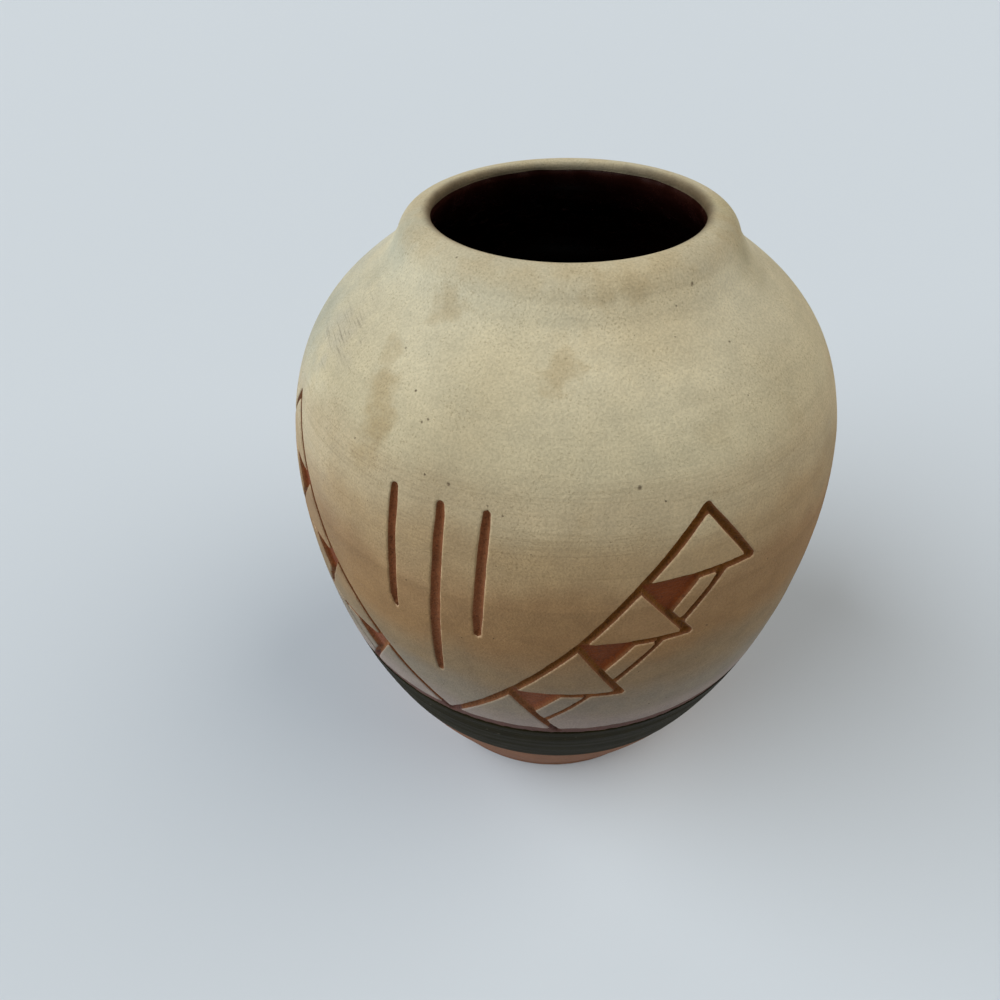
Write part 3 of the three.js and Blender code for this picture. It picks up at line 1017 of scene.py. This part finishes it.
def build_sector(name, angles, v_index):
    """Builds a sector's clay, its slip coat and, in a carved one, each island of slip by itself."""
    turn = None if v_index is None else v_turns[v_index]
    points, triangles = dipped_wall(angles, turn)
    front = front_of(points)
    on_slip = points["cut"][triangles].mean(axis=1) > 0
    bright = np.interp(points["run"], run_at(np.array([pale_low, pale_high])), [0.15, 1])
    # Pale cut faces: the cut slip's own paler colour, weighted to the lit side as a painted highlight
    pale = np.clip(-points["brim"] / 0.06 + 0.2, 0, 1) * (points["groove"] < 3) * points["lit"] * bright
    tooled = {label: np.clip(-points[name] / width, 0, 1) for label, name, width in tool_fields}
    owner = np.full(len(triangles), -1)
    areas = [] if turn is None else island_areas(v_index)
    middles = place(points["angle"], points["run"])[triangles].mean(axis=1)
    for number, (_, corners) in enumerate(areas):
        owner[(patch_distance(middles, corners, turn) < 0) & on_slip] = number
    add_layer(f"clay_{name}", points, front, clay_back, triangles[~on_slip],
              clay_finish, ["clay_body"], tooled)
    coats = [(f"slip_{name}", "cream_dip", on_slip & (owner < 0))]
    coats += [(f"{node}_slip", node, owner == number) for number, (node, _) in enumerate(areas)]
    for coat, node, chosen in coats:
        add_layer(coat, points, front, slip_back, triangles[chosen],
                  slip_finish, [node], {"pale_cut_and_highlight": pale})


def build_dip():
    """The dipped wall in four upright sectors: one carved and one plain for each V."""
    plain_half = np.pi / 2 - sector_half
    carved_angles = steps_between(-sector_half, sector_half, carving_step / belly_radius)
    plain_angles = steps_between(-plain_half, plain_half, plain_step / belly_radius)
    for index, (carved, plain) in enumerate((("front", "right"), ("back", "left"))):
        build_sector(carved, carved_angles + v_turns[index], index)
        build_sector(plain, plain_angles + v_turns[index] + np.pi / 2, None)


def join_round(triangles):
    """A full round of triangles joined into a ring: the last column's corners become the first's."""
    wide = len(ring_angles)
    return np.where(triangles % wide == wide - 1, triangles - (wide - 1), triangles)


def weld(points, faces):
    """Points in the same place become one, and faces that lose a side by it are left out."""
    _, first, which = np.unique(np.round(points, 4), axis=0, return_index=True, return_inverse=True)
    faces = which.ravel()[faces]
    whole = (faces[:, 0] != faces[:, 1]) & (faces[:, 1] != faces[:, 2]) & (faces[:, 2] != faces[:, 0])
    return points[first], faces[whole], first


def add_ring_layer(name, runs, depth, back_depth, finish, nodes, field):
    """A closed layer all round, with its depth and one named field as functions of angle and run."""
    points, triangles = grid(ring_angles, runs)
    triangles = join_round(triangles)
    angle, run = points["angle"], points["run"]
    front = place(angle, run, depth(angle, run))
    back = place(angle, run, back_depth)
    corners, faces, used = closed_layer(front, back, triangles)
    label, measure = field
    held = np.concatenate([measure(angle, run)[used]] * 2)
    welded, faces, first = weld(corners, faces)
    add_mesh(name, welded, faces, finish, {label: held[first]}, nodes)


def build_band():
    """The black band: rounded at both edges, and thin down to a wavering line at its foot."""
    low, high = run_at(band_bottom), run_at(band_top)

    def depth(angle, run):
        low_edge = 0.3 * np.clip(1 - (run - low) / 0.8, 0, 1) ** 2
        high_edge = 0.4 * np.clip(1 - (high - run) / 0.5, 0, 1) ** 2
        return low_edge + high_edge + throwing_rings(angle, run)

    def thin(angle, run):
        waver = rough(np.stack([np.sin(angle), np.cos(angle), angle * 0], axis=-1), band_waver)
        return np.clip(1 - (run - low + waver) / 2.2, 0, 1) ** 1.5

    rows = steps_through(low, (low + 1, 0.2), (high - 0.8, 0.8), (high, 0.16))
    add_ring_layer("band_coat", rows, depth, band_back, band_finish, ["black_band"],
                   ("thin", thin))


def floor_calm(run):
    """The share of the rings that is left near the floor's middle, from 1 down to 0."""
    return np.clip((floor_run - run) / 20, 0, 1)


def build_lining():
    """The glaze lining: from under the slip's edge at the mouth, down the inside and over the floor."""
    start = mouth_run - 0.4

    def depth(angle, run):
        tucked = 0.3 * np.clip(1 - (run - mouth_run - 0.4) / 1.2, 0, 1)
        return tucked + 2 * throwing_rings(angle, run) * floor_calm(run)

    def thin(angle, run):
        return np.clip(1 - (run - start) / 5, 0, 1)

    rows = steps_through(start, (start + 6, 0.4), (floor_run, 1.6))
    add_ring_layer("glaze_coat", rows, depth, lining_back, glaze_finish, ["glaze_lining"],
                   ("thin", thin))


def build_core():
    """The clay under the coats, turned from one closed section: underside, foot, wall and inside."""
    foot_runs = steps_between(0, run_at(band_bottom) + 1.5, 0.7)
    outer_runs = steps_between(run_at(band_bottom) + 2, run_at(138), 3)
    inner_runs = steps_between(section_ends[5], floor_run, 3)
    stretches = [(foot_runs, 0.12), (outer_runs, clay_back + 0.1), (inner_runs, lining_back + 0.1)]
    angles = ring_angles
    under = np.linspace(0, foot_radius - foot_edge, 40)[:-1]
    rows = [turned(angles, radius, angles * 0) for radius in under]
    for runs, depth in stretches:
        for run in runs:
            standing = np.clip(run / 4, 0, 1)
            rings = throwing_rings(angles, angles * 0 + run) * standing * floor_calm(run)
            rows.append(place(angles, angles * 0 + run, depth * standing + rings))
    points = np.vstack(rows)
    _, triangles = grid(angles, np.arange(len(rows)))
    points, faces, _ = weld(points, join_round(triangles))
    plain = {"dug": np.zeros(len(points))}
    add_mesh("clay_core", points, faces, clay_finish, plain, ["clay_body"])


build_dip()
build_band()
build_lining()
build_core()


# The light: the room's even light, how pale the room looks where it is seen, and the lamps' width
room_light = 0.17
room_seen = 0.85
lamp_width = np.radians(60)


def build_stage():
    """A plain pale floor that runs on past the view, under a pale world."""
    half = 4.0
    mesh = bpy.data.meshes.new("floor")
    corners = [(-half, -half, 0), (half, -half, 0), (half, half, 0), (-half, half, 0)]
    mesh.from_pydata(corners, [], [(0, 1, 2, 3)])
    floor = add_object("floor", mesh)
    finish, _, shader = new_finish("Pale floor", 0.9, 0.2)
    shader.inputs["Base Color"].default_value = colour(214, 218, 221)
    mesh.materials.append(finish)
    world = bpy.data.worlds.new("Pale room")
    bpy.context.scene.world = world
    world.use_nodes = True
    tree = world.node_tree
    background = tree.nodes["Background"]
    background.inputs["Color"].default_value = colour(240, 243, 246)
    path = add(tree, "LightPath").outputs
    seen = maths(tree, "MAXIMUM", path["Is Camera Ray"], path["Is Transmission Ray"])
    seen = maths(tree, "MAXIMUM", seen, path["Is Glossy Ray"])
    strength = maths(tree, "MULTIPLY_ADD", seen, room_seen - room_light, room_light)
    tree.links.new(strength, background.inputs["Strength"])


# The camera, in the fit's own terms: how far it stands, how high, and where it looks
camera_distance = 135.5
camera_height = 198.36
camera_turn = 20.1
look_aside = -6.433
look_down = 43.32
camera_roll = -1.739
focal_share = 0.6499


def build_camera():
    """The photograph's camera: it looks across the level, down, and rolls by its three angles."""
    turn, aside, down, roll = np.radians([camera_turn, look_aside, look_down, camera_roll])
    heading = aside - turn
    ahead = np.array([np.sin(heading) * np.cos(down), np.cos(heading) * np.cos(down), -np.sin(down)])
    level = np.array([np.cos(heading), -np.sin(heading), 0])
    square = np.cross(level, ahead)
    right = np.cos(roll) * level + np.sin(roll) * square
    up = -np.sin(roll) * level + np.cos(roll) * square
    spot = turned(turn, camera_distance, camera_height) * MM
    data = bpy.data.cameras.new("camera")
    data.sensor_width = 36
    data.lens = data.sensor_width * focal_share
    data.clip_start = 0.01
    data.clip_end = 50
    camera = add_object("camera", data)
    camera.matrix_world = Matrix(np.c_[np.r_[[right, up, -ahead]].T, spot].tolist() + [[0, 0, 0, 1]])
    bpy.context.scene.camera = camera


def build_lamp(name, heading, height, strength, paint):
    """A far soft lamp from a heading and a height angle; strength 1 lights a facing surface as painted."""
    data = bpy.data.lights.new(name, "SUN")
    data.angle = lamp_width
    data.energy = strength * np.pi
    data.color = colour(*paint)[:3]
    lamp = add_object(name, data)
    turn, rise = np.radians([heading, height])
    away = Vector(turned(turn, np.cos(rise), np.sin(rise)))
    lamp.rotation_euler = away.to_track_quat("Z", "Y").to_euler()


build_stage()
build_camera()
build_lamp("window", camera_turn - 76, 36, 0.88, (238, 247, 255))
build_lamp("ceiling", camera_turn + 97, 45, 0.45, (252, 251, 246))
bpy.context.scene.view_settings.view_transform = "Standard"
